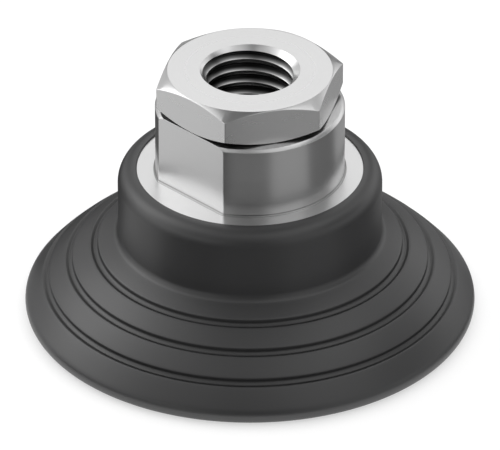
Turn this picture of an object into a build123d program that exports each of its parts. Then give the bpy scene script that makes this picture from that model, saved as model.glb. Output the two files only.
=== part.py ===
"""Round suction cup with a turned metal hub and a hexagonal threaded adapter.

Units are millimetres. +Z is up along the cup's axis, and Z = 0 is the plane on which the lip rests.
The hub's two wrench flats face +Y and -Y, flush with two faces of the hexagon.
"""

import os
from math import atan2, cos, degrees, radians, sin, sqrt, tan

from build123d import *

# Heights above the lip, and of what stands on the flange
CEILING = 8.0
FLANGE_TOP = 21.3
BODY_HEIGHT = 10.0
HEX_HEIGHT = 5.0

# Rubber cup: the lip and the bell-shaped skirt, whose centre lies BELL_REACH inside the rim
CUP_R = 30.0
LIP_EDGE_R = 1.5
BELL_R = 35.0
BELL_REACH = 27.1
SKIRT_WALL = 2.8
CEILING_ROUND = 1.5

# Ring grooves in the outside of the skirt, set out along its curve from the lip upwards
GROOVE_COUNT = 3
GROOVE_WIDTH = 1.3
GROOVE_DEPTH = 0.5
GROOVE_SIDE_ANGLE = 75.0
GROOVE_PITCH = 4.1
GROOVE_FROM_EDGE = 3.6

# Rubber cup: the collar round the flange, rounded at its top down to a narrow flat
COLLAR_WALL = 2.5
COLLAR_PROUD = 0.25
COLLAR_FLAT = 0.25
COLLAR_FOOT_R = 1.2

# Support cleats under the skirt
CLEAT_COUNT = 12
CLEAT_ANGLE = 9.0
CLEAT_FOOT = 2.4
CLEAT_INNER_R = 13.6
CLEAT_OUTER_R = 22.4
CLEAT_ROUND = 0.8

# Hub: body with wrench flats, flange, stem and anchor
BODY_R = 12.5
FLATS_ACROSS = 22.0
BODY_EDGE = 0.4
BODY_FOOT_R = 0.3
FLANGE_R = 15.0
FLANGE_THICK = 3.0
STEM_R = 9.0
ANCHOR_R = 12.0
ANCHOR_THICK = 2.5
ANCHOR_EDGE = 0.8
PASSAGE_R = 4.0
PASSAGE_EDGE = 0.5

# Hexagonal adapter with a G 1/4 female thread, whose bore is at the thread's minor diameter
HEX_ACROSS = 22.0
HEX_CHAMFER_ANGLE = 30.0
THREAD_MINOR_R = 5.7225
THREAD_MAJOR_R = 6.5785
SPIGOT_R = 9.0
SPIGOT_LENGTH = 7.0
SPIGOT_EDGE = 0.6
SPIGOT_CLEARANCE = 0.02

# Seal ring squeezed between the spigot's flat end and its seat in the hub
RING_MARGIN = 0.1
RING_WIDTH = 1.8
RING_THICK = 1.2
RING_EDGE = 0.35

# The lip's rounded edge lies inside the bell's curve and touches it
edge_x = CUP_R - LIP_EDGE_R
edge_z = LIP_EDGE_R
bell_x = CUP_R - BELL_REACH
bell_z = edge_z - sqrt((BELL_R - LIP_EDGE_R) ** 2 - (edge_x - bell_x) ** 2)
bell_start = degrees(atan2(edge_z - bell_z, edge_x - bell_x))
inner_bell_r = BELL_R - SKIRT_WALL
middle_bell_r = BELL_R - SKIRT_WALL / 2

# The groove's cutter stands proud of the bell by its own depth, so it is wider there
groove_mouth = GROOVE_WIDTH + 2 * GROOVE_DEPTH / tan(radians(GROOVE_SIDE_ANGLE))

# Faces that follow from the sizes above
collar_top = FLANGE_TOP + COLLAR_PROUD
collar_r = FLANGE_R + COLLAR_WALL
flange_bottom = FLANGE_TOP - FLANGE_THICK
anchor_top = CEILING + ANCHOR_THICK
hub_top = FLANGE_TOP + BODY_HEIGHT
hex_top = hub_top + HEX_HEIGHT
spigot_end = hub_top - SPIGOT_LENGTH
seat = spigot_end - RING_THICK
socket_r = SPIGOT_R + SPIGOT_CLEARANCE
ring_outer_r = SPIGOT_R - SPIGOT_EDGE - RING_MARGIN
hex_corner_r = HEX_ACROSS / 2 / cos(radians(30))
hex_chamfer = (hex_corner_r - HEX_ACROSS / 2) * tan(radians(HEX_CHAMFER_ANGLE))
flat_depth = BODY_R - FLATS_ACROSS / 2


def on_bell(radius, angle):
    """Point at a polar angle on a curve with the bell's centre."""
    return (
        bell_x + radius * cos(radians(angle)),
        bell_z + radius * sin(radians(angle)),
    )


def bell_at_x(radius, x):
    """Point on a curve with the bell's centre, at a distance x from the cup's axis."""
    return (x, bell_z + sqrt(radius**2 - (x - bell_x) ** 2))


def bell_at_z(radius, z):
    """Point on a curve with the bell's centre, at a height z."""
    return (bell_x + sqrt(radius**2 - (z - bell_z) ** 2), z)


def corner(sketch, point):
    """The corner of a section that lies at a point, given in the section's own plane."""
    return sketch.vertices().sort_by_distance((*point, 0))[0]


# Where the rubber grips the hub: the two pieces share this stepped outline
anchor_corner = (ANCHOR_R, anchor_top)
gripped_outline = [
    (ANCHOR_R, CEILING),
    anchor_corner,
    (STEM_R, anchor_top),
    (STEM_R, flange_bottom),
    (FLANGE_R, flange_bottom),
]

# Hub: turned about Z, then two flats milled down to the flange
with BuildPart() as hub:
    with BuildSketch(Plane.XZ) as hub_section:
        with BuildLine():
            Polyline(
                *gripped_outline,
                (FLANGE_R, FLANGE_TOP),
                (BODY_R, FLANGE_TOP),
                (BODY_R, hub_top - BODY_EDGE),
                (BODY_R - BODY_EDGE, hub_top),
                (socket_r, hub_top),
                (socket_r, seat),
                (PASSAGE_R, seat),
                (PASSAGE_R, CEILING + PASSAGE_EDGE),
                (PASSAGE_R + PASSAGE_EDGE, CEILING),
                close=True,
            )
        make_face()
        chamfer(corner(hub_section, anchor_corner), ANCHOR_EDGE)
    revolve(axis=Axis.Z)
    with BuildSketch(Plane.XY.offset(FLANGE_TOP)):
        with GridLocations(0, FLATS_ACROSS + flat_depth, 1, 2):
            Rectangle(2 * BODY_R, flat_depth)
    extrude(amount=hub_top - FLANGE_TOP, mode=Mode.SUBTRACT)
    flange_face = hub.faces().filter_by(Plane.XY).sort_by_distance((FLANGE_R, 0, FLANGE_TOP))[0]
    fillet(flange_face.inner_wires()[0].edges(), BODY_FOOT_R)

# Adapter: a hexagon turned to a cone at both ends, on a round spigot, with a bore right through
with BuildPart() as hex_adapter:
    with BuildSketch(Plane.XY.offset(hub_top)):
        RegularPolygon(HEX_ACROSS / 2, 6, major_radius=False)
    extrude(amount=hex_top - hub_top)
    with BuildSketch(Plane.XZ):
        with BuildLine():
            Polyline(
                (0, hub_top),
                (HEX_ACROSS / 2, hub_top),
                (hex_corner_r, hub_top + hex_chamfer),
                (hex_corner_r, hex_top - hex_chamfer),
                (HEX_ACROSS / 2, hex_top),
                (0, hex_top),
                close=True,
            )
        make_face()
    revolve(axis=Axis.Z, mode=Mode.INTERSECT)
    with BuildSketch(Plane.XY.offset(hub_top)):
        Circle(SPIGOT_R)
    extrude(amount=-SPIGOT_LENGTH)
    chamfer(hex_adapter.edges().group_by(Axis.Z)[0], SPIGOT_EDGE)
    with BuildSketch(Plane.XY.offset(spigot_end)):
        Circle(THREAD_MINOR_R)
    extrude(amount=hex_top - spigot_end, mode=Mode.SUBTRACT)
    bore_mouth = hex_adapter.faces().sort_by(Axis.Z)[-1].inner_wires()[0]
    chamfer(bore_mouth.edges(), THREAD_MAJOR_R - THREAD_MINOR_R)

# Seal ring: a flat ring with broken edges, between the spigot and its seat
with BuildPart() as seal_ring:
    with BuildSketch(Plane.XZ) as ring_section:
        with Locations((ring_outer_r - RING_WIDTH / 2, seat + RING_THICK / 2)):
            Rectangle(RING_WIDTH, RING_THICK)
        chamfer(ring_section.vertices(), RING_EDGE)
    revolve(axis=Axis.Z)

# Support cleat: a short block under the skirt, rooted in the middle of the rubber wall
with BuildPart() as cleat:
    with BuildSketch(Plane.XZ) as cleat_side:
        with BuildLine():
            Polyline(
                (CLEAT_INNER_R, anchor_top),
                (CLEAT_INNER_R, CLEAT_FOOT),
                (CLEAT_OUTER_R, CLEAT_FOOT),
                bell_at_x(middle_bell_r, CLEAT_OUTER_R),
                close=True,
            )
        make_face()
        fillet(corner(cleat_side, (CLEAT_INNER_R, CLEAT_FOOT)), CLEAT_ROUND)
        fillet(corner(cleat_side, (CLEAT_OUTER_R, CLEAT_FOOT)), CLEAT_ROUND)
    revolve(axis=Axis.Z, revolution_arc=CLEAT_ANGLE)

# Suction cup: turned round the hub's outline in one moulding, with grooves outside and cleats inside
with BuildPart() as suction_cup:
    with BuildSketch(Plane.XZ) as cup_section:
        with BuildLine():
            bell_top = bell_at_x(BELL_R, collar_r)
            bell_end = on_bell(BELL_R, bell_start)
            bell_middle = bell_at_x(BELL_R, (bell_top[0] + bell_end[0]) / 2)
            inner_top = bell_at_z(inner_bell_r, CEILING)
            inner_middle = bell_at_z(inner_bell_r, CEILING / 2)
            inner_end = bell_at_z(inner_bell_r, 0)
            Polyline(*gripped_outline, (FLANGE_R, collar_top), (collar_r, collar_top), bell_top)
            ThreePointArc(bell_top, bell_middle, bell_end)
            CenterArc((edge_x, edge_z), LIP_EDGE_R, bell_start, -90 - bell_start)
            Line((edge_x, 0), inner_end)
            ThreePointArc(inner_end, inner_middle, inner_top)
            Line(inner_top, gripped_outline[0])
        make_face()
        chamfer(corner(cup_section, anchor_corner), ANCHOR_EDGE)
        fillet(corner(cup_section, (collar_r, collar_top)), COLLAR_WALL - COLLAR_FLAT)
        fillet(corner(cup_section, bell_top), COLLAR_FOOT_R)
        fillet(corner(cup_section, inner_top), CEILING_ROUND)
        for step in range(GROOVE_COUNT):
            along_bell = GROOVE_FROM_EDGE + step * GROOVE_PITCH
            groove_angle = bell_start + degrees(along_bell / BELL_R)
            with Locations(Location((*on_bell(BELL_R, groove_angle), 0), (0, 0, groove_angle + 90))):
                Trapezoid(groove_mouth, 2 * GROOVE_DEPTH, GROOVE_SIDE_ANGLE, mode=Mode.SUBTRACT)
    revolve(axis=Axis.Z)
    with PolarLocations(0, CLEAT_COUNT):
        add(cleat.part)

hub.part.label = "hub"
hex_adapter.part.label = "hex_adapter"
seal_ring.part.label = "seal_ring"
suction_cup.part.label = "suction_cup"

os.makedirs("parts", exist_ok=True)
export_step(hub.part, "parts/hub.step")
export_step(hex_adapter.part, "parts/hex_adapter.step")
export_step(seal_ring.part, "parts/seal_ring.step")
export_step(suction_cup.part, "parts/suction_cup.step")
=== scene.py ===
# %% [markdown]
# # A round suction cup, dressed for its portrait
# The part is a rubber suction cup moulded onto a turned metal hub. A hexagonal adapter with a
# female thread is screwed into the hub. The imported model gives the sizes; this lesson gives the
# surfaces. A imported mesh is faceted, so each visible piece is turned again here with fine steps
# and small rounded edges, in exactly the place that its node has.

from math import atan2, cos, degrees, hypot, pi, radians, sin, sqrt, tan

import bmesh
import bpy
from mathutils import Matrix, Vector


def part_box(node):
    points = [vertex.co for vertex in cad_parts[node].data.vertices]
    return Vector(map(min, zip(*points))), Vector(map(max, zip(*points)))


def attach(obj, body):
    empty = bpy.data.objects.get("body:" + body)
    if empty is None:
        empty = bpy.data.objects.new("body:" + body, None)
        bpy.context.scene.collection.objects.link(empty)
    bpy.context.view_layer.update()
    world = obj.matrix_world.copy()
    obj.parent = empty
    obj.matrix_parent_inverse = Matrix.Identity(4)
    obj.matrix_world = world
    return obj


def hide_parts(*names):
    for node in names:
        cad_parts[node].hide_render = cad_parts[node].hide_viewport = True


MM = 0.001
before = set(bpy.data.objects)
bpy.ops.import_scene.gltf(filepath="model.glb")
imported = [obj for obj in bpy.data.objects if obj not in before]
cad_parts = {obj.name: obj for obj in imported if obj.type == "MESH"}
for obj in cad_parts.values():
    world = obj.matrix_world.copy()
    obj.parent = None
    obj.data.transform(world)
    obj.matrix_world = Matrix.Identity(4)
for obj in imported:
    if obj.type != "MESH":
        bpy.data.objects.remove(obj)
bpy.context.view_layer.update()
print("nodes:", sorted(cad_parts))

# %% [markdown]
# ## Sizes
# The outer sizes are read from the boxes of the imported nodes. A box can't say how wide a groove
# is or how a lip is rounded, so those sizes are named here, in millimetres times MM.

# %% Sizes from the frame
cup_low, cup_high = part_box("suction_cup")
hub_low, hub_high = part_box("hub")
hex_low, hex_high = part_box("hex_adapter")
ring_low, ring_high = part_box("seal_ring")
FLOOR = cup_low[2]
CUP_R = cup_high[0]
COLLAR_TOP = cup_high[2]
CEILING = hub_low[2]
HUB_TOP = hub_high[2]
FLANGE_R = hub_high[0]
HEX_TOP = hex_high[2]
SPIGOT_END = hex_low[2]
HEX_ACROSS = hex_high[1] - hex_low[1]
print("cup radius", round(CUP_R / MM, 2), "mm, hexagon", round(HEX_ACROSS / MM, 2), "mm across")

# %% Sizes that a box can't give
LIP_EDGE_R = 1.5 * MM
BELL_R = 35.0 * MM
BELL_REACH = 27.1 * MM
SKIRT_WALL = 2.8 * MM
CEILING_ROUND = 1.5 * MM
GROOVE_COUNT = 3
GROOVE_MOUTH = 1.14 * MM
GROOVE_FLOOR = 0.60 * MM
GROOVE_DEPTH = 0.5 * MM
GROOVE_FLOOR_R = 0.15 * MM
GROOVE_EDGE_R = 0.12 * MM
GROOVE_PITCH = 4.1 * MM
GROOVE_FROM_EDGE = 3.52 * MM
COLLAR_PROUD = 0.25 * MM
COLLAR_WALL = 2.5 * MM
COLLAR_FLAT = 0.25 * MM
COLLAR_FOOT_R = 1.2 * MM
FLANGE_TOP = COLLAR_TOP - COLLAR_PROUD
FLANGE_THICK = 3.0 * MM
STEM_R = 9.0 * MM
ANCHOR_R = 12.0 * MM
ANCHOR_THICK = 2.5 * MM
ANCHOR_EDGE = 0.8 * MM
BODY_R = 12.5 * MM
FLATS_ACROSS = 22.0 * MM
BODY_EDGE = 0.4 * MM
BODY_FOOT_R = 0.3 * MM
PASSAGE_R = 4.0 * MM
PASSAGE_EDGE = 0.5 * MM
HEX_CHAMFER_ANGLE = 30.0
THREAD_MINOR_R = 5.7225 * MM
THREAD_MAJOR_R = 6.5785 * MM
SPIGOT_R = 9.0 * MM
SPIGOT_EDGE = 0.6 * MM
SOCKET_R = 9.02 * MM
FINE_EDGE = 0.06 * MM
print("flange top at", round(FLANGE_TOP / MM, 2), "mm,", GROOVE_COUNT, "ring grooves")

# %% [markdown]
# ## A pen for turned sections
# Most of this object was made on an axis: the metal in a lathe, the rubber in a turned mould. So
# each piece starts as half a section in the XZ plane and is then spun round Z. Typing the points
# of every curve would hide the sizes, so the section is drawn with a small pen. A straight line
# is an extruded vertex. An arc is that vertex spun about the arc's centre, and a small rounding
# is a vertex bevel.

# %% The pen
TURN_STEPS = 256
FULL_TURN = 2 * pi
MERGE = 1e-7


class Pen:
    """Draws half a section, with x as the radius and z as the height."""

    def __init__(self, radius, height):
        self.bm = bmesh.new()
        self.first = self.bm.verts.new((radius, 0, height))
        self.tip = self.first
        self.corners = {}

    def round_tip(self, rounding):
        self.corners.setdefault(rounding, []).append(self.tip)

    def line(self, radius, height, rounding=0.0):
        grown = bmesh.ops.extrude_vert_indiv(self.bm, verts=[self.tip])
        self.tip = grown["verts"][0]
        self.tip.co = (radius, 0, height)
        if rounding:
            self.round_tip(rounding)

    def arc(self, centre, turn, steps):
        """Turns anticlockwise for positive degrees, in the plane where x is right and z is up."""
        spun = bmesh.ops.spin(
            self.bm, geom=[self.tip], cent=(centre[0], 0, centre[1]), axis=(0, -1, 0),
            angle=radians(turn), steps=steps,
        )
        self.tip = next(item for item in spun["geom_last"] if isinstance(item, bmesh.types.BMVert))

    def close(self):
        self.bm.edges.new((self.tip, self.first))
        return self

    def round_corners(self, segments=5):
        for size, corners in self.corners.items():
            bmesh.ops.bevel(
                self.bm, geom=corners, offset=size, offset_type="OFFSET", segments=segments,
                profile=0.5, affect="VERTICES", clamp_overlap=True, material=-1,
            )
        return self

    def turned(self, angle=FULL_TURN, steps=TURN_STEPS):
        """Spins the section round Z and leaves a closed skin with its faces outwards."""
        geometry = self.bm.verts[:] + self.bm.edges[:] + self.bm.faces[:]
        bmesh.ops.spin(
            self.bm, geom=geometry, cent=(0, 0, 0), axis=(0, 0, 1), angle=angle, steps=steps,
            use_merge=angle == FULL_TURN,
        )
        bmesh.ops.remove_doubles(self.bm, verts=self.bm.verts[:], dist=MERGE)
        bmesh.ops.recalc_face_normals(self.bm, faces=self.bm.faces[:])
        return self.bm


# %% From a bmesh to a finished object
SHARP_ANGLE = radians(32)


def open_edges(bm):
    return sum(1 for edge in bm.edges if len(edge.link_faces) != 2)


def smooth_but_sharp(bm):
    for face in bm.faces:
        face.smooth = True
    for edge in bm.edges:
        if len(edge.link_faces) == 2:
            edge.smooth = edge.calc_face_angle() < SHARP_ANGLE


def finished_mesh(name, bm):
    mesh = bpy.data.meshes.new(name)
    bm.to_mesh(mesh)
    bm.free()
    return mesh


def add_object(name, data):
    """Puts a mesh, a lamp or a camera in the scene as an object at the origin."""
    made = bpy.data.objects.new(name, data)
    bpy.context.scene.collection.objects.link(made)
    return made


def new_piece(name, bm):
    """Makes an object at the origin, smooth-shaded but for its sharp edges."""
    smooth_but_sharp(bm)
    loose = open_edges(bm)
    piece = add_object(name, finished_mesh(name, bm))
    print(name, "faces", len(piece.data.polygons), "open edges", loose)
    return piece


def level_normals(piece):
    """Lets the large flat faces keep their normals, so the small roundings take up the turn."""
    weighted = piece.modifiers.new("level normals", "WEIGHTED_NORMAL")
    weighted.keep_sharp = True
    weighted.weight = 100


def carve(piece, tool, operation):
    """Cuts a piece with another one, keeps the result as its mesh and throws the tool away."""
    cut = piece.modifiers.new("cut", "BOOLEAN")
    cut.operation = operation
    cut.solver = "EXACT"
    cut.object = tool
    bpy.context.view_layer.update()
    evaluated = piece.evaluated_get(bpy.context.evaluated_depsgraph_get())
    carved = bpy.data.meshes.new_from_object(evaluated)
    bm = bmesh.new()
    bm.from_mesh(carved)
    smooth_but_sharp(bm)
    bm.to_mesh(carved)
    bm.free()
    piece.modifiers.remove(cut)
    old = piece.data
    piece.data = carved
    carved.name = piece.name
    bpy.data.meshes.remove(old)
    bpy.data.meshes.remove(tool.data)


def bevel_edges(bm, edges, offset, segments=3):
    bmesh.ops.bevel(
        bm, geom=edges, offset=offset, offset_type="OFFSET", segments=segments, profile=0.5,
        affect="EDGES", clamp_overlap=True, material=-1,
    )


def rework(piece, offset, wanted):
    """Rounds the edges of a carved piece for which wanted(edge) is true."""
    bm = bmesh.new()
    bm.from_mesh(piece.data)
    bmesh.ops.remove_doubles(bm, verts=bm.verts[:], dist=MERGE)
    edges = [edge for edge in bm.edges if len(edge.link_faces) == 2 and wanted(edge)]
    bevel_edges(bm, edges, offset)
    smooth_but_sharp(bm)
    print(piece.name, "rounded", len(edges), "edges, open edges", open_edges(bm))
    bm.to_mesh(piece.data)
    bm.free()


# %% [markdown]
# ## The rubber cup
# On the real object the collar, the bell-shaped skirt, the lip and the support cleats are one
# moulding. The outside of the skirt is a large arc, broken by three ring grooves with slanted
# walls and small roundings at their edges and floors. The arc touches the small round edge of
# the lip, so its centre is worked out from that contact. The rubber also closes round the
# metal's flange, stem and anchor, where a hair's gap keeps the two skins apart.

# %% The bell's centre
HAIR = 0.01 * MM
edge_x = CUP_R - LIP_EDGE_R
edge_z = FLOOR + LIP_EDGE_R
bell_x = CUP_R - BELL_REACH
bell_z = edge_z - sqrt((BELL_R - LIP_EDGE_R) ** 2 - (edge_x - bell_x) ** 2)
bell_start = degrees(atan2(edge_z - bell_z, edge_x - bell_x))
inner_bell_r = BELL_R - SKIRT_WALL
collar_r = FLANGE_R + COLLAR_WALL
foot_x = collar_r + COLLAR_FOOT_R
foot_z = bell_z + sqrt((BELL_R + COLLAR_FOOT_R) ** 2 - (foot_x - bell_x) ** 2)
bell_stop = degrees(atan2(foot_z - bell_z, foot_x - bell_x))
print("bell arc from", round(bell_start, 1), "to", round(bell_stop, 1), "degrees")

# %% Draw the outside of the cup
COLLAR_STEPS = 16
COLLAR_FOOT_STEPS = 12
LIP_STEPS = 24
BELL_STEP = 0.6


def on_bell(radius, angle):
    return bell_x + radius * cos(radians(angle)), bell_z + radius * sin(radians(angle))


def steps_for(turn, step):
    return max(1, round(abs(turn) / step))


anchor_top = CEILING + ANCHOR_THICK
flange_bottom = FLANGE_TOP - FLANGE_THICK
collar_round = COLLAR_WALL - COLLAR_FLAT
pen = Pen(ANCHOR_R + HAIR, CEILING)
pen.line(ANCHOR_R + HAIR, anchor_top - ANCHOR_EDGE)
pen.line(ANCHOR_R - ANCHOR_EDGE, anchor_top + HAIR)
pen.line(STEM_R + HAIR, anchor_top + HAIR)
pen.line(STEM_R + HAIR, flange_bottom - HAIR)
pen.line(FLANGE_R + HAIR, flange_bottom - HAIR)
pen.line(FLANGE_R + HAIR, COLLAR_TOP, rounding=FINE_EDGE)
pen.line(collar_r - collar_round, COLLAR_TOP)
pen.arc((collar_r - collar_round, COLLAR_TOP - collar_round), -90, COLLAR_STEPS)
pen.line(collar_r, foot_z)
pen.arc((foot_x, foot_z), bell_stop, COLLAR_FOOT_STEPS)

half_mouth = degrees(GROOVE_MOUTH / 2 / BELL_R)
half_floor = degrees(GROOVE_FLOOR / 2 / BELL_R)
groove_middles = [
    bell_start + degrees((GROOVE_FROM_EDGE + step * GROOVE_PITCH) / BELL_R)
    for step in range(GROOVE_COUNT)
]
angle_now = bell_stop
for middle in reversed(groove_middles):
    turn = middle + half_mouth - angle_now
    pen.arc((bell_x, bell_z), turn, steps_for(turn, BELL_STEP))
    pen.round_tip(GROOVE_EDGE_R)
    pen.line(*on_bell(BELL_R - GROOVE_DEPTH, middle + half_floor), rounding=GROOVE_FLOOR_R)
    pen.line(*on_bell(BELL_R - GROOVE_DEPTH, middle))
    pen.line(*on_bell(BELL_R - GROOVE_DEPTH, middle - half_floor), rounding=GROOVE_FLOOR_R)
    pen.line(*on_bell(BELL_R, middle - half_mouth), rounding=GROOVE_EDGE_R)
    angle_now = middle - half_mouth
pen.arc((bell_x, bell_z), bell_start - angle_now, steps_for(bell_start - angle_now, BELL_STEP))
pen.arc((edge_x, edge_z), -90 - bell_start, LIP_STEPS)
print("grooves at", [round(middle, 1) for middle in groove_middles], "degrees on the bell")

# %% Draw the inside of the skirt and turn the cup
INNER_BELL_STEP = 1.2
CEILING_STEPS = 6
inner_start = degrees(atan2(FLOOR - bell_z, sqrt(inner_bell_r**2 - (FLOOR - bell_z) ** 2)))
roof_z = CEILING - CEILING_ROUND
roof_x = bell_x + sqrt((inner_bell_r - CEILING_ROUND) ** 2 - (roof_z - bell_z) ** 2)
inner_stop = degrees(atan2(roof_z - bell_z, roof_x - bell_x))
inner_turn = inner_stop - inner_start
pen.line(*on_bell(inner_bell_r, inner_start))
pen.arc((bell_x, bell_z), inner_turn, steps_for(inner_turn, INNER_BELL_STEP))
pen.arc((roof_x, roof_z), 90 - inner_stop, CEILING_STEPS)
cup_bm = pen.close().round_corners().turned()
print("cup skin:", len(cup_bm.faces), "faces,", open_edges(cup_bm), "open edges")

# %% [markdown]
# ## Support cleats
# Short moulded blocks under the skirt stop a thin sheet from being sucked up into the cup. They
# are part of the same rubber, so their blocks are rooted in the wall and join the cup's own
# mesh. One block is turned through a few degrees from its side view, its edges are rounded, and
# a spin that duplicates sets out the rest.

# %% Make one cleat
CLEAT_ANGLE = 9.0
CLEAT_STEPS = 3
CLEAT_FOOT = FLOOR + 2.4 * MM
CLEAT_INNER_R = 13.6 * MM
CLEAT_OUTER_R = 22.4 * MM
CLEAT_ROUND = 0.8 * MM
CLEAT_EDGE = 0.25 * MM
CLEAT_EDGE_ANGLE = radians(50)
middle_bell_r = BELL_R - SKIRT_WALL / 2
outer_root = bell_z + sqrt(middle_bell_r**2 - (CLEAT_OUTER_R - bell_x) ** 2)

side = Pen(CLEAT_INNER_R, anchor_top)
side.line(CLEAT_INNER_R, CLEAT_FOOT, rounding=CLEAT_ROUND)
side.line(CLEAT_OUTER_R, CLEAT_FOOT, rounding=CLEAT_ROUND)
side.line(CLEAT_OUTER_R, outer_root)
side.close().round_corners()
bmesh.ops.contextual_create(side.bm, geom=side.bm.edges[:])
cleat_bm = side.turned(angle=radians(CLEAT_ANGLE), steps=CLEAT_STEPS)
sharp = [edge for edge in cleat_bm.edges if edge.calc_face_angle(0) > CLEAT_EDGE_ANGLE]
bevel_edges(cleat_bm, sharp, CLEAT_EDGE)
print("one cleat:", len(cleat_bm.faces), "faces")

# %% Set out the cleats and join them to the cup
CLEAT_COUNT = 12
bmesh.ops.spin(
    cleat_bm, geom=cleat_bm.verts[:] + cleat_bm.edges[:] + cleat_bm.faces[:], cent=(0, 0, 0),
    axis=(0, 0, 1), angle=FULL_TURN * (CLEAT_COUNT - 1) / CLEAT_COUNT, steps=CLEAT_COUNT - 1,
    use_duplicate=True,
)
print("cleats:", len(cleat_bm.faces), "faces,", open_edges(cleat_bm), "open edges")
cleat_mesh = finished_mesh("cleats", cleat_bm)
cup_bm.from_mesh(cleat_mesh)
bpy.data.meshes.remove(cleat_mesh)
bmesh.ops.recalc_face_normals(cup_bm, faces=cup_bm.faces[:])
cup_body = new_piece("cup_body", cup_bm)
level_normals(cup_body)

# %% [markdown]
# ## Painted shade for what lies deep
# Narrow places get painted shade: the grooves of the cup, the foot of its metal body, its thread
# and the cone that overhangs the hub. Light alone leaves them too pale, so each corner of each
# face stores how deep it lies, as a number from 0 to 1, and the materials paint shade there by
# turning darker. The lower wall of a groove gets a little more painted shade than the upper one.

# %% Paint shade into the grooves
# How much painted shade the lower and the upper wall of a groove get.
LOWER_WALL_SHADE = 0.4
UPPER_WALL_SHADE = 0.3


def paint_recess_shade(piece, depth_at):
    """Stores depth_at(normal of the face, place of the corner) on every corner, as painted shade.
    """
    mesh = piece.data
    depths = [
        depth_at(face.normal, mesh.vertices[index].co)
        for face in mesh.polygons for index in face.vertices
    ]
    mesh.attributes.new("recess", "FLOAT", "CORNER").data.foreach_set("value", depths)
    print(piece.name, "corners in a recess:", sum(1 for depth in depths if depth > 0))


def shade_in_groove(_, point):
    """Painted shade that grows with the depth in a groove, and from the middle of its floor to its
    walls.
    """
    out_x = hypot(point.x, point.y) - bell_x
    out_z = point.z - bell_z
    reach = hypot(out_x, out_z)
    angle = degrees(atan2(out_z, out_x))
    aside = min((angle - middle for middle in groove_middles), key=abs)
    if abs(aside) > half_mouth or not BELL_R - GROOVE_DEPTH - HAIR < reach < BELL_R:
        return 0.0
    wall = UPPER_WALL_SHADE if aside > 0 else LOWER_WALL_SHADE
    return (BELL_R - reach) / GROOVE_DEPTH * wall * min(1.0, (aside / half_floor) ** 2)


paint_recess_shade(cup_body, shade_in_groove)

# %% [markdown]
# ## The hub
# The hub is turned from bar: anchor, stem, flange, a tiny fillet and a round body with a small
# chamfer. Then two wrench flats are milled down to the flange. The milling cutter's own corner
# leaves the same tiny fillet at the foot of each flat, so the cutting block here has one rounded
# edge.

# %% Turn the hub
BODY_FOOT_STEPS = 6
METAL_SEGMENTS = 3
seat_z = ring_low[2]
pen = Pen(PASSAGE_R, CEILING + PASSAGE_EDGE)
pen.line(PASSAGE_R + PASSAGE_EDGE, CEILING)
pen.line(ANCHOR_R, CEILING, rounding=FINE_EDGE)
pen.line(ANCHOR_R, anchor_top - ANCHOR_EDGE)
pen.line(ANCHOR_R - ANCHOR_EDGE, anchor_top)
pen.line(STEM_R, anchor_top)
pen.line(STEM_R, flange_bottom)
pen.line(FLANGE_R, flange_bottom)
pen.line(FLANGE_R, FLANGE_TOP, rounding=FINE_EDGE)
pen.line(BODY_R + BODY_FOOT_R, FLANGE_TOP)
pen.arc((BODY_R + BODY_FOOT_R, FLANGE_TOP + BODY_FOOT_R), -90, BODY_FOOT_STEPS)
pen.line(BODY_R, HUB_TOP - BODY_EDGE, rounding=FINE_EDGE)
pen.line(BODY_R - BODY_EDGE, HUB_TOP, rounding=FINE_EDGE)
pen.line(SOCKET_R, HUB_TOP)
pen.line(SOCKET_R, seat_z)
pen.line(PASSAGE_R, seat_z)
hub_body = new_piece("hub_body", pen.close().round_corners(METAL_SEGMENTS).turned())

# %% Mill the two flats
MILL_REACH = 4.0 * MM
MILL_LENGTH = 4 * BODY_R
for side_y in (-1, 1):
    block = bmesh.new()
    bmesh.ops.create_cube(block, size=1.0)
    bmesh.ops.scale(block, verts=block.verts[:], vec=(MILL_LENGTH, MILL_REACH, MILL_LENGTH))
    middle_y = side_y * (FLATS_ACROSS / 2 + MILL_REACH / 2)
    middle_z = FLANGE_TOP + MILL_LENGTH / 2
    bmesh.ops.translate(block, verts=block.verts[:], vec=(0, middle_y, middle_z))
    foot = [
        edge for edge in block.edges
        if all(
            vert.co.z < FLANGE_TOP + MM and abs(vert.co.y) < FLATS_ACROSS / 2 + MM
            for vert in edge.verts
        )
    ]
    bevel_edges(block, foot, BODY_FOOT_R, BODY_FOOT_STEPS)
    bmesh.ops.recalc_face_normals(block, faces=block.faces[:])
    carve(hub_body, new_piece("mill_block", block), "DIFFERENCE")
print("hub after milling:", len(hub_body.data.polygons), "faces")

# %% Break the edges of the flats and paint shade into the foot of the body
FLAT_EDGE_ANGLE = radians(14)
ON_FLAT = 1e-6
ABOVE_FOOT = FLANGE_TOP + 1.5 * BODY_FOOT_R
# Painted shade in the tiny fillet at the foot of the body.
FOOT_SHADE = 0.17


def edge_of_a_flat(edge):
    on_flat = all(abs(abs(vert.co.y) - FLATS_ACROSS / 2) < ON_FLAT for vert in edge.verts)
    above_foot = all(vert.co.z > ABOVE_FOOT for vert in edge.verts)
    return on_flat and above_foot and edge.calc_face_angle() > FLAT_EDGE_ANGLE


def shade_at_foot(_, point):
    """The tiny fillet at the foot of the body gets a little painted shade."""
    in_fillet = FLANGE_TOP + HAIR < point.z < FLANGE_TOP + BODY_FOOT_R - HAIR
    return FOOT_SHADE if in_fillet else 0.0


rework(hub_body, FINE_EDGE / 2, edge_of_a_flat)
level_normals(hub_body)
paint_recess_shade(hub_body, shade_at_foot)

# %% [markdown]
# ## The threaded hexagon
# A hexagonal bar is faced in the lathe, so a shallow cone takes off its corners at both ends. In
# Blender that is a six-sided prism kept only where a turned double cone overlaps it. The edges
# get a hair of rounding, because a metal edge without one never catches the light. Last, a
# screw-shaped tool is subtracted for the thread.

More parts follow.
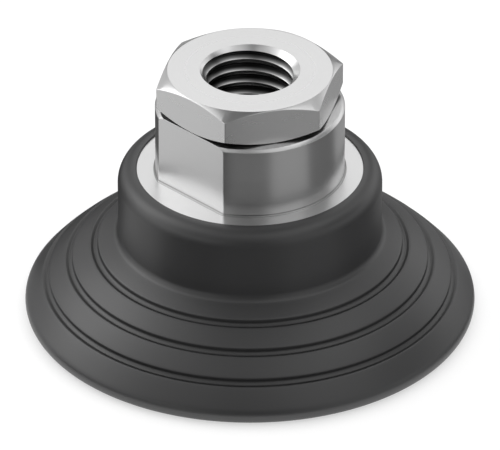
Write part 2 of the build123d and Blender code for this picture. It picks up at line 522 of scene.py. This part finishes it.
# %% Turn the blank
CONE_INSET = 0.14 * MM
MOUTH_EDGE = 0.02 * MM
BORE_R = 5.5 * MM
OVER = 1.0 * MM
hex_corner_r = HEX_ACROSS / 2 / cos(radians(30))
cone_r = HEX_ACROSS / 2 - CONE_INSET
cone_reach = hex_corner_r + OVER
cone_drop = (cone_reach - cone_r) * tan(radians(HEX_CHAMFER_ANGLE))
pen = Pen(BORE_R, HUB_TOP - OVER / 2)
pen.line(cone_r, HUB_TOP - OVER / 2)
pen.line(cone_r, HUB_TOP)
pen.line(cone_reach, HUB_TOP + cone_drop)
pen.line(cone_reach, HEX_TOP - cone_drop)
pen.line(cone_r, HEX_TOP)
pen.line(THREAD_MAJOR_R, HEX_TOP, rounding=MOUTH_EDGE)
pen.line(BORE_R, HEX_TOP - (THREAD_MAJOR_R - BORE_R))
blank = new_piece("hex_blank", pen.close().round_corners(METAL_SEGMENTS).turned())

# %% Cut the six sides
HEX_EDGE_ANGLE = radians(12)
prism_bm = bmesh.new()
bmesh.ops.create_cone(
    prism_bm, cap_ends=True, cap_tris=False, segments=6, radius1=hex_corner_r,
    radius2=hex_corner_r, depth=HEX_TOP - HUB_TOP + OVER,
)
prism_middle = (HEX_TOP + HUB_TOP + OVER) / 2
bmesh.ops.translate(prism_bm, verts=prism_bm.verts[:], vec=(0, 0, prism_middle))
first_corner = next(iter(prism_bm.verts)).co
corner_angle = atan2(first_corner.y, first_corner.x)
to_x_axis = Matrix.Rotation(-corner_angle, 3, "Z")
bmesh.ops.rotate(prism_bm, verts=prism_bm.verts[:], matrix=to_x_axis)
hex_body = new_piece("hex_body", prism_bm)
carve(hex_body, blank, "INTERSECT")


def outer_edge(edge):
    outside = all(hypot(vert.co.x, vert.co.y) > THREAD_MAJOR_R + OVER for vert in edge.verts)
    return outside and edge.calc_face_angle() > HEX_EDGE_ANGLE


rework(hex_body, CONE_INSET / 2, outer_edge)
print("hexagon:", len(hex_body.data.polygons), "faces")

# %% Add the spigot
pen = Pen(BORE_R, SPIGOT_END)
pen.line(SPIGOT_R - SPIGOT_EDGE, SPIGOT_END)
pen.line(SPIGOT_R, SPIGOT_END + SPIGOT_EDGE)
pen.line(SPIGOT_R, HUB_TOP + OVER / 2)
pen.line(BORE_R, HUB_TOP + OVER / 2)
carve(hex_body, new_piece("spigot", pen.close().turned()), "UNION")

# %% [markdown]
# ## The thread
# A tap cuts a groove that climbs by one pitch in each turn. The same thing happens here: one
# tooth's section is spun with a small lift at every step, neighbouring turns are merged, and the
# screw is trimmed and capped. Subtracting it leaves the female thread, which runs out into the
# chamfer at the mouth just as a tapped one does.

# %% Draw one tooth of the tap
THREAD_PITCH = 1.757 * MM
CREST_FLAT = 0.47 * MM
ROOT_FLAT = 0.28 * MM
THREAD_EDGE = 0.05 * MM
THREAD_EDGE_SEGMENTS = 2
THREAD_PHASE = -0.69 * MM
THREAD_ROOT_R = THREAD_MAJOR_R - 2 * MOUTH_EDGE
flank = (THREAD_PITCH - CREST_FLAT - ROOT_FLAT) / 2
tap_low = SPIGOT_END - OVER / 2
tap_high = HEX_TOP + OVER / 2
tap_start = tap_low - 2 * THREAD_PITCH + THREAD_PHASE
tap = Pen(THREAD_MINOR_R, tap_start)
height = tap_start
for radius, rise, rounding in (
    (THREAD_MINOR_R, CREST_FLAT / 2, THREAD_EDGE),
    (THREAD_ROOT_R, flank, THREAD_EDGE),
    (THREAD_ROOT_R, ROOT_FLAT, THREAD_EDGE),
    (THREAD_MINOR_R, flank, THREAD_EDGE),
    (THREAD_MINOR_R, CREST_FLAT / 2, 0.0),
):
    height += rise
    tap.line(radius, height, rounding)
tap.round_corners(THREAD_EDGE_SEGMENTS)
print("one tooth of the tap:", len(tap.bm.edges), "edges")

# %% Spin the tap
STEPS_PER_TURN = 96
TAP_MERGE = 1e-6
tap_turns = int((tap_high - tap_start) / THREAD_PITCH) + 2
bmesh.ops.spin(
    tap.bm, geom=tap.bm.verts[:] + tap.bm.edges[:], cent=(0, 0, 0), axis=(0, 0, 1),
    dvec=(0, 0, THREAD_PITCH / STEPS_PER_TURN), angle=FULL_TURN * tap_turns,
    steps=tap_turns * STEPS_PER_TURN,
)
bmesh.ops.remove_doubles(tap.bm, verts=tap.bm.verts[:], dist=TAP_MERGE)
print("the tap has", tap_turns, "turns")

# %% Trim it, cap it and cut
TRIM_SNAP = 1e-8
for trim, inner in ((tap_low, True), (tap_high, False)):
    bmesh.ops.bisect_plane(
        tap.bm, geom=tap.bm.verts[:] + tap.bm.edges[:] + tap.bm.faces[:], dist=TRIM_SNAP,
        plane_co=(0, 0, trim), plane_no=(0, 0, 1), clear_inner=inner, clear_outer=not inner,
    )
rims = [edge for edge in tap.bm.edges if len(edge.link_faces) == 1]
bmesh.ops.holes_fill(tap.bm, edges=rims, sides=0)
bmesh.ops.recalc_face_normals(tap.bm, faces=tap.bm.faces[:])
carve(hex_body, new_piece("tap", tap.bm), "DIFFERENCE")
level_normals(hex_body)
print("threaded hexagon:", len(hex_body.data.polygons), "faces")

# %% Paint shade into the thread and onto the lower cone
LOWER_CONE_TOP = HUB_TOP + 1.2 * MM
FACES_DOWN = -0.5
STEEP = 0.4
MOUTH_SLOPE = (0.6, 0.8)
# Painted shade on the crest walls of the bore; the root walls get the full painted shade.
BORE_WALL_SHADE = 0.31


def shade_in_hexagon(normal, point):
    """Painted shade on the flanks and roots of the thread, and on the cone that overhangs the hub.
    """
    radius = hypot(point.x, point.y)
    if radius > THREAD_MAJOR_R + OVER:
        # The cone under the hexagon gets the full painted shade.
        return float(normal.z < FACES_DOWN and HUB_TOP - HAIR < point.z < LOWER_CONE_TOP)
    mouth_z = HEX_TOP - THREAD_MAJOR_R + radius
    in_mouth = abs(point.z - mouth_z) < HAIR and MOUTH_SLOPE[0] < normal.z < MOUTH_SLOPE[1]
    if radius > THREAD_ROOT_R + HAIR or in_mouth:
        return 0.0
    if abs(normal.z) < STEEP:
        return BORE_WALL_SHADE if radius < THREAD_MINOR_R + HAIR else 1.0
    return min(1.0, max(0.0, (radius - THREAD_MINOR_R) / (THREAD_ROOT_R - THREAD_MINOR_R)))


paint_recess_shade(hex_body, shade_in_hexagon)

# %% [markdown]
# ## The seal ring
# The ring between the spigot and its seat is out of sight. It still gets its real form, a round
# rubber cord squeezed to a flat oval, because the meshes are kept as well as the picture.

# %% Seal ring
RING_WIDTH = 1.8 * MM
RING_ROUND = 0.45 * MM
RING_SEGMENTS = 6
RING_STEPS = 96
ring_inner_r = ring_high[0] - RING_WIDTH
pen = Pen((ring_inner_r + ring_high[0]) / 2, ring_low[2])
pen.line(ring_high[0], ring_low[2], rounding=RING_ROUND)
pen.line(ring_high[0], ring_high[2], rounding=RING_ROUND)
pen.line(ring_inner_r, ring_high[2], rounding=RING_ROUND)
pen.line(ring_inner_r, ring_low[2], rounding=RING_ROUND)
seal_bm = pen.close().round_corners(RING_SEGMENTS).turned(steps=RING_STEPS)
seal_body = new_piece("seal_body", seal_bm)

# %% Attach the pieces
for piece, node, slot in (
    (cup_body, "suction_cup", "cup_rubber"),
    (hub_body, "hub", "hub_metal"),
    (hex_body, "hex_adapter", "hex_metal"),
    (seal_body, "seal_ring", "seal_rubber"),
):
    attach(piece, "root")
    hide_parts(node)
    print(piece.name, "stands for", node)

# %% [markdown]
# ## Turned metal
# Both metal pieces have a bright lathe finish: fine rings left by the tool, which stretch each
# highlight across the rings. A node group makes the rings from the distance to the axis and the
# height, so the same rings run round the walls and across the flat faces. Each metal gives the
# group its own spacing.

# %% Node helpers
FLOAT = "NodeSocketFloat"
VECTOR = "NodeSocketVector"


def add_node(tree, kind, **settings):
    node = tree.nodes.new(kind)
    for key, value in settings.items():
        setattr(node, key, value)
    return node


def feed(tree, socket, value):
    """Gives a socket a number, or links it to another node's output."""
    if isinstance(value, (int, float)):
        socket.default_value = value
    else:
        tree.links.new(value, socket)


def maths(tree, operation, *values):
    node = add_node(tree, "ShaderNodeMath", operation=operation)
    for socket, value in zip(node.inputs, values):
        feed(tree, socket, value)
    return node.outputs[0]


def noise(tree, vector, scale, detail):
    node = add_node(tree, "ShaderNodeTexNoise")
    node.inputs["Scale"].default_value = scale
    node.inputs["Detail"].default_value = detail
    tree.links.new(vector, node.inputs["Vector"])
    return node.outputs["Fac"]


def spread(tree, value, low, high):
    """Maps 0..1 to low..high."""
    node = add_node(tree, "ShaderNodeMapRange")
    feed(tree, node.inputs["To Min"], low)
    feed(tree, node.inputs["To Max"], high)
    tree.links.new(value, node.inputs["Value"])
    return node.outputs["Result"]


def new_group(name, inputs, outputs):
    tree = bpy.data.node_groups.new(name, "ShaderNodeTree")
    for label, kind, start in inputs:
        socket = tree.interface.new_socket(name=label, in_out="INPUT", socket_type=kind)
        if start is not None:
            socket.default_value = start
    for label in outputs:
        tree.interface.new_socket(name=label, in_out="OUTPUT", socket_type=FLOAT)
    return tree, add_node(tree, "NodeGroupInput"), add_node(tree, "NodeGroupOutput")


# %% The turned-rings group
BAND_SCALE = 0.12
CLOUD_SCALE = 220.0
rings, rings_in, rings_out = new_group(
    "turned rings",
    [("Position", VECTOR, None), ("Spacing", FLOAT, 0.12 * MM), ("Roughness", FLOAT, 0.2),
     ("Variation", FLOAT, 0.05)],
    ["Roughness", "Tone"],
)
given = rings_in.outputs
apart = add_node(rings, "ShaderNodeSeparateXYZ")
rings.links.new(given["Position"], apart.inputs[0])
square_x = maths(rings, "MULTIPLY", apart.outputs["X"], apart.outputs["X"])
square_y = maths(rings, "MULTIPLY", apart.outputs["Y"], apart.outputs["Y"])
from_axis = maths(rings, "SQRT", maths(rings, "ADD", square_x, square_y))
pair = add_node(rings, "ShaderNodeCombineXYZ")
for way, length in (("X", from_axis), ("Y", apart.outputs["Z"])):
    rings.links.new(maths(rings, "DIVIDE", length, given["Spacing"]), pair.inputs[way])
broad = noise(rings, pair.outputs[0], BAND_SCALE, detail=0.0)
cloud = noise(rings, given["Position"], CLOUD_SCALE, detail=0.0)
smoother = maths(rings, "MULTIPLY", given["Variation"], -1.0)
band = spread(rings, broad, smoother, given["Variation"])
half_broad = maths(rings, "MULTIPLY", broad, 0.5)
half_cloud = maths(rings, "MULTIPLY", cloud, 0.5)
for label, first, second in (
    ("Roughness", given["Roughness"], band), ("Tone", half_broad, half_cloud),
):
    rings.links.new(maths(rings, "ADD", first, second), rings_out.inputs[label])
print("turned rings:", len(rings.nodes), "nodes")

# %% Material helpers
# How soon the painted shade in the recesses reaches its darkest.
RECESS_SHADE_POWER = 4.0


def principled(name):
    material = bpy.data.materials.new(name)
    material.use_nodes = True
    tree = material.node_tree
    shader = tree.nodes["Principled BSDF"]
    position = add_node(tree, "ShaderNodeTexCoord").outputs["Object"]
    return material, tree, shader, position


def blend(tree, factor, first, second):
    """Mixes two colours. Each is a colour or a socket that gives one."""
    mix = add_node(tree, "ShaderNodeMix", data_type="RGBA")
    tree.links.new(factor, mix.inputs["Factor"])
    for name, colour in (("A", first), ("B", second)):
        if isinstance(colour, tuple):
            mix.inputs[name].default_value = (*colour, 1)
        else:
            tree.links.new(colour, mix.inputs[name])
    return mix.outputs["Result"]


def toned(tree, shader, factor, dark, light, deep):
    """Base colour between dark and light, with painted shade: it soon falls to deep in the marked
    recesses.
    """
    recess = add_node(tree, "ShaderNodeAttribute", attribute_name="recess").outputs["Fac"]
    open_part = maths(tree, "POWER", maths(tree, "SUBTRACT", 1.0, recess), RECESS_SHADE_POWER)
    surface = blend(tree, factor, dark, light)
    tree.links.new(blend(tree, open_part, deep, surface), shader.inputs["Base Color"])


def dress(piece, material):
    piece.data.materials.clear()
    piece.data.materials.append(material)


# %% Metal materials
METAL_GREY = (0.80, 0.80, 0.80)
METAL_DARKER = 0.97
# Colour of the painted shade in the thread, on the lower cone and in the foot fillet.
METAL_PAINTED_SHADE = (0.06, 0.06, 0.06)
METAL_STRETCH = 0.4
METAL_VARIATION = 0.02
QUARTER_TURN = 0.25


def turned_metal(name, roughness, spacing):
    material, tree, shader, position = principled(name)
    group = add_node(tree, "ShaderNodeGroup", node_tree=rings)
    tree.links.new(position, group.inputs["Position"])
    group.inputs["Spacing"].default_value = spacing
    group.inputs["Roughness"].default_value = roughness
    group.inputs["Variation"].default_value = METAL_VARIATION
    around = add_node(tree, "ShaderNodeVectorMath", operation="CROSS_PRODUCT")
    around.inputs[0].default_value = (0, 0, 1)
    tree.links.new(position, around.inputs[1])
    tree.links.new(around.outputs["Vector"], shader.inputs["Tangent"])
    shader.inputs["Metallic"].default_value = 1.0
    shader.inputs["Anisotropic"].default_value = METAL_STRETCH
    shader.inputs["Anisotropic Rotation"].default_value = QUARTER_TURN
    tree.links.new(group.outputs["Roughness"], shader.inputs["Roughness"])
    dark = tuple(channel * METAL_DARKER for channel in METAL_GREY)
    toned(tree, shader, group.outputs["Tone"], dark, METAL_GREY, METAL_PAINTED_SHADE)
    return material


hub_metal = turned_metal("turned_hub_metal", roughness=0.30, spacing=0.10 * MM)
hex_metal = turned_metal("turned_hexagon_metal", roughness=0.28, spacing=0.12 * MM)
print("metals:", hub_metal.name, hex_metal.name)

# %% [markdown]
# ## Moulded rubber
# The cup is satin black rubber. A mould with a finely blasted wall leaves a grain far too small
# to see as dots, but it softens the highlights. A slow cloudy change in roughness keeps large
# areas from looking like painted plastic.

# %% Rubber materials
RUBBER_DARK = (0.020, 0.020, 0.021)
RUBBER_LIGHT = (0.023, 0.023, 0.024)
# Colour of the painted shade in the grooves.
RUBBER_PAINTED_SHADE = (0.008, 0.008, 0.008)
RUBBER_SHINE = 1.0
RUBBER_VARIATION = 0.03
RUBBER_CLOUD_SCALE = 90.0
GRAIN_STRENGTH = 0.3
GRAIN_HEIGHT = 0.01 * MM


def bumped(tree, shader, height, strength, distance):
    bump = add_node(tree, "ShaderNodeBump")
    bump.inputs["Strength"].default_value = strength
    bump.inputs["Distance"].default_value = distance
    tree.links.new(height, bump.inputs["Height"])
    tree.links.new(bump.outputs["Normal"], shader.inputs["Normal"])


def moulded_rubber(name, roughness, grain_scale):
    material, tree, shader, position = principled(name)
    cloudy = noise(tree, position, RUBBER_CLOUD_SCALE, detail=4.0)
    grain = noise(tree, position, grain_scale, detail=2.0)
    toned(tree, shader, cloudy, RUBBER_DARK, RUBBER_LIGHT, RUBBER_PAINTED_SHADE)
    shader.inputs["Specular IOR Level"].default_value = RUBBER_SHINE
    satin = spread(tree, cloudy, roughness - RUBBER_VARIATION, roughness + RUBBER_VARIATION)
    tree.links.new(satin, shader.inputs["Roughness"])
    bumped(tree, shader, grain, GRAIN_STRENGTH, GRAIN_HEIGHT)
    return material


cup_rubber = moulded_rubber("moulded_cup_rubber", roughness=0.42, grain_scale=5000.0)
seal_rubber = moulded_rubber("seal_rubber_matt", roughness=0.6, grain_scale=6000.0)
print("rubbers:", cup_rubber.name, seal_rubber.name)

# %% Dress the pieces and the nodes they stand for
for piece, node_name, material in (
    (cup_body, "suction_cup", cup_rubber),
    (hub_body, "hub", hub_metal),
    (hex_body, "hex_adapter", hex_metal),
    (seal_body, "seal_ring", seal_rubber),
):
    dress(piece, material)
    dress(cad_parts[node_name], material)
    print(piece.name, "wears", material.name)

# %% [markdown]
# ## Camera
# The portrait was taken from well above with a long lens, so near and far sides have almost one
# scale. The camera stands at the distance and height worked out from the photograph, and aims at
# the axis.

# %% Place the camera
CAMERA_AZIMUTH = radians(-45.17)
CAMERA_DISTANCE = 761.12 * MM
CAMERA_HEIGHT = 480.47 * MM
AIM_HEIGHT = 12.39 * MM
FOCAL_PIXELS = 6731.0
PHOTO_WIDTH = 500
SENSOR = 36.0


def stand_and_aim(thing, distance, azimuth, height):
    """Puts a camera or a lamp at a place round the axis and turns it towards the object."""
    thing.location = (distance * cos(azimuth), distance * sin(azimuth), height)
    aim = Vector((0, 0, AIM_HEIGHT)) - thing.location
    thing.rotation_euler = aim.to_track_quat("-Z", "Y").to_euler()


camera_data = bpy.data.cameras.new("portrait_camera")
camera_data.sensor_fit = "HORIZONTAL"
camera_data.sensor_width = SENSOR
camera_data.lens = FOCAL_PIXELS / PHOTO_WIDTH * SENSOR
camera = add_object("portrait_camera", camera_data)
stand_and_aim(camera, CAMERA_DISTANCE, CAMERA_AZIMUTH, CAMERA_HEIGHT)
bpy.context.scene.camera = camera
print("lens", round(camera_data.lens, 1), "mm")

# %% [markdown]
# ## Studio
# The object stands on white. Metal shows whatever stands round it, so a product photographer
# sets up cards: pale ones for bright bands and dark ones for contrast. Here each card is a patch
# of a large sphere or of the table, seen in reflections only. The light itself is soft and comes
# from the world and four softboxes.

# %% White table and world
TABLE_REACH = 3.0
TABLE_DROP = 0.02 * MM
TABLE_GREY = (0.50, 0.50, 0.50, 1)
TABLE_ROUGHNESS = 0.9
TABLE_GLOW = 0.52
WHITE = (1, 1, 1, 1)
SKY_STRENGTH = 1.0
floor_bm = bmesh.new()
bmesh.ops.create_circle(floor_bm, cap_ends=True, segments=96, radius=TABLE_REACH)
floor = add_object("floor", finished_mesh("floor", floor_bm))
floor.location.z = FLOOR - TABLE_DROP


def background_rays(tree):
    """1 where a ray comes from the camera, from a mirror-like surface or through glass."""
    path = add_node(tree, "ShaderNodeLightPath")
    seen = maths(tree, "MAXIMUM", path.outputs["Is Camera Ray"], path.outputs["Is Glossy Ray"])
    return maths(tree, "MAXIMUM", seen, path.outputs["Is Transmission Ray"])


floor_material = bpy.data.materials.new("white_table")
floor_material.use_nodes = True
tree = floor_material.node_tree
table = tree.nodes["Principled BSDF"].inputs
table["Base Color"].default_value = TABLE_GREY
table["Roughness"].default_value = TABLE_ROUGHNESS
table["Specular IOR Level"].default_value = 0.0
table["Emission Color"].default_value = WHITE
glow = spread(tree, background_rays(tree), 0.0, TABLE_GLOW)
tree.links.new(glow, table["Emission Strength"])
dress(floor, floor_material)

world = bpy.data.worlds.new("studio")
bpy.context.scene.world = world
world.use_nodes = True
sky = world.node_tree.nodes["Background"].inputs
sky["Color"].default_value = WHITE
sky["Strength"].default_value = SKY_STRENGTH
print("table glow", TABLE_GLOW, "and sky strength", SKY_STRENGTH)

# %% Reflection cards
CARD_DISTANCE = 0.55
CARD_WIDTH = 45
CARD_STEP = 5
TABLE_CARD_R = 33 * MM
TABLE_CARD_LIFT = 0.5 * MM


def card(name, start, elevations, grey):
    """A patch of a large sphere, or of the table if it has no elevations. It starts at an
    azimuth counted from the camera, to the right when positive."""
    if elevations is None:
        pen = Pen(TABLE_CARD_R, FLOOR + TABLE_CARD_LIFT)
        pen.line(CARD_DISTANCE, FLOOR + TABLE_CARD_LIFT)
    else:
        low, high = elevations
        pen = Pen(CARD_DISTANCE * cos(radians(low)), CARD_DISTANCE * sin(radians(low)))
        pen.arc((0, 0), high - low, steps_for(high - low, CARD_STEP))
    bm = pen.bm
    bmesh.ops.spin(
        bm, geom=bm.verts[:] + bm.edges[:], cent=(0, 0, 0), axis=(0, 0, 1),
        angle=radians(CARD_WIDTH), steps=steps_for(CARD_WIDTH, CARD_STEP),
    )
    to_start = Matrix.Rotation(CAMERA_AZIMUTH + radians(start), 3, "Z")
    bmesh.ops.rotate(bm, verts=bm.verts[:], matrix=to_start)
    patch = add_object(name, finished_mesh(name, bm))
    patch.visible_camera = False
    patch.visible_diffuse = False
    patch.visible_shadow = False
    material = bpy.data.materials.new(name)
    material.use_nodes = True
    nodes = material.node_tree.nodes
    nodes.remove(nodes["Principled BSDF"])
    shine = nodes.new("ShaderNodeEmission")
    shine.inputs["Strength"].default_value = grey
    material.node_tree.links.new(shine.outputs[0], nodes["Material Output"].inputs["Surface"])
    dress(patch, material)


card_rows = (
    ("table", None, (0.38, 0.05, 0.60, 0.07, 0.14, 0.29, 0.12, 0.32)),
    ("low", (-3, 22), (0.12, 0.60, 1.10, 0.60, 0.05, 0.50, 0.60, 0.65)),
    ("middle", (22, 45), (0.20, 0.50, 0.95, 0.18, 0.14, 0.45, 0.12, 0.30)),
    ("high", (45, 70), (0.80, 0.60, 0.95, 0.60, 0.30, 0.36, 1.00, 0.45)),
    ("top", (70, 90), (0.08,) * 8),
)
for row, elevations, greys in card_rows:
    for number, grey in enumerate(greys):
        turn = CARD_WIDTH * number - 180
        card(f"{row}_card_{turn}", turn - CARD_WIDTH / 2, elevations, grey)
    print(row, "cards:", len(greys))

# %% Softboxes
SOFTBOX_DISTANCE = 0.5
SOFTBOX_SIDE = 0.3


def softbox(name, azimuth, elevation, power):
    """A square lamp that faces the object. The azimuth is counted from the camera."""
    data = bpy.data.lights.new(name, "AREA")
    data.size = SOFTBOX_SIDE
    data.energy = power
    out = SOFTBOX_DISTANCE * cos(radians(elevation))
    up = SOFTBOX_DISTANCE * sin(radians(elevation))
    stand_and_aim(add_object(name, data), out, CAMERA_AZIMUTH + radians(azimuth), up)
    print(name, power, "W")


softbox("left_softbox", azimuth=-114, elevation=37, power=0.38)
softbox("right_softbox", azimuth=132, elevation=27, power=0.13)
softbox("front_softbox", azimuth=45, elevation=60, power=0.10)
softbox("back_softbox", azimuth=180, elevation=40, power=0.22)

# %% Finish
bpy.context.scene.view_settings.view_transform = "Standard"
